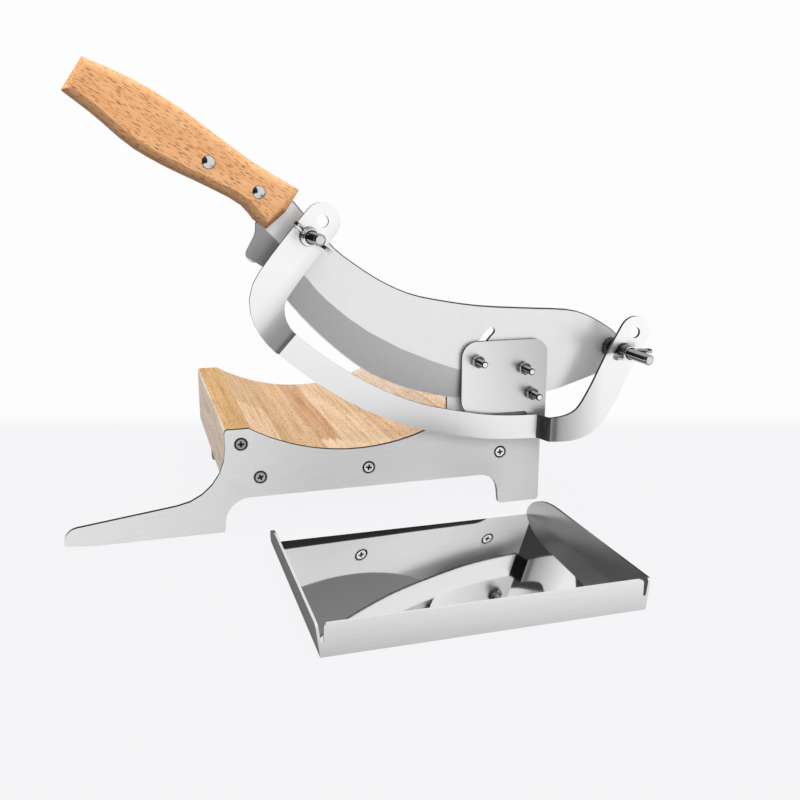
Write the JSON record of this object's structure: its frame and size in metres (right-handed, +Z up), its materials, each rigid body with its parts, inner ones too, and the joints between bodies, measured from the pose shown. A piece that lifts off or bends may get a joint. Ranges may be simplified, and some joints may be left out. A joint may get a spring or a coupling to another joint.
{
  "type": "frozen meat cutter",
  "caption": "Hand-lever cutter for frozen meat rolls: hollowed wood cradle on a steel base, curved swinging blade, adjustable slice gauge and a loose catch tray.",
  "frame": {"origin": "on the table under the middle of the whole outfit, tray included", "axes": "+X to the pivot end, -Y towards the user and the tray, +Z up"},
  "size_m": [0.334, 0.3256, 0.248],
  "materials": {
    "plate_steel": "plain rolled stainless sheet, light satin",
    "keeper_steel": "satin stainless sheet",
    "blade_steel": "finely brushed, with a ground bevel",
    "gauge_steel": "bright polished stainless strip",
    "tray_steel": "mirror-polished stainless sheet",
    "hardware": "bright plated fasteners",
    "dark_nut": "dark oxide, knurled rim",
    "bush_brass": "plain turned",
    "block_wood": "laminated strips, fine sanded",
    "handle_wood": "oiled beech"
  },
  "bodies": {
    "base": {"front_plate": "plate_steel", "cradle_block": "block_wood", "rear_bracket": "plate_steel", "keeper_plate": "keeper_steel", "front_screw_1": "hardware", "front_screw_2": "hardware", "front_screw_3": "hardware", "front_screw_4": "hardware", "bracket_screw_1": "hardware", "bracket_screw_2": "hardware", "bracket_screw_3": "hardware", "bracket_screw_4": "hardware", "pivot_bolt": "hardware", "stop_bolt": "hardware", "clamp_bolt": "hardware", "pivot_nut": "hardware", "stop_nut": "hardware", "clamp_nut": "hardware", "pivot_bush": "bush_brass", "clamp_spacer": "hardware"},
    "lever": {"blade": "blade_steel", "handle": "handle_wood", "handle_rivet_1": "hardware", "handle_rivet_2": "hardware", "heel_bolt": "hardware", "tip_bolt": "hardware", "heel_lock_nut": "dark_nut", "tip_lock_nut": "dark_nut"},
    "gauge": {"gauge_bar": "gauge_steel", "heel_back_nut": "hardware", "tip_back_nut": "hardware"},
    "heel_wing": {"heel_wing_nut": "hardware"},
    "tip_wing": {"tip_wing_nut": "hardware"},
    "tray": {"catch_tray": "tray_steel"}
  },
  "joints": [
    {"name": "lever_hinge", "type": "hinge", "parent": "base", "child": "lever", "pos_m": [0.093, -0.0139, 0.0844], "axis": [0, -1, 0], "range_deg": [0, 34]},
    {"name": "gauge_slide", "type": "slide", "parent": "lever", "child": "gauge", "axis": [0, -1, 0], "range_m": [0, 0.012]},
    {"name": "heel_wing_turn", "type": "hinge", "parent": "gauge", "child": "heel_wing", "pos_m": [-0.0348, -0.03625, 0.1631], "axis": [0, -1, 0], "continuous": true},
    {"name": "tip_wing_turn", "type": "hinge", "parent": "gauge", "child": "tip_wing", "pos_m": [0.1509, -0.03625, 0.0933], "axis": [0, -1, 0], "continuous": true},
    {"name": "tray_slide", "type": "slide", "parent": "base", "child": "tray", "axis": [0, -1, 0], "range_m": [-0.019, 0.1]}
  ]
}
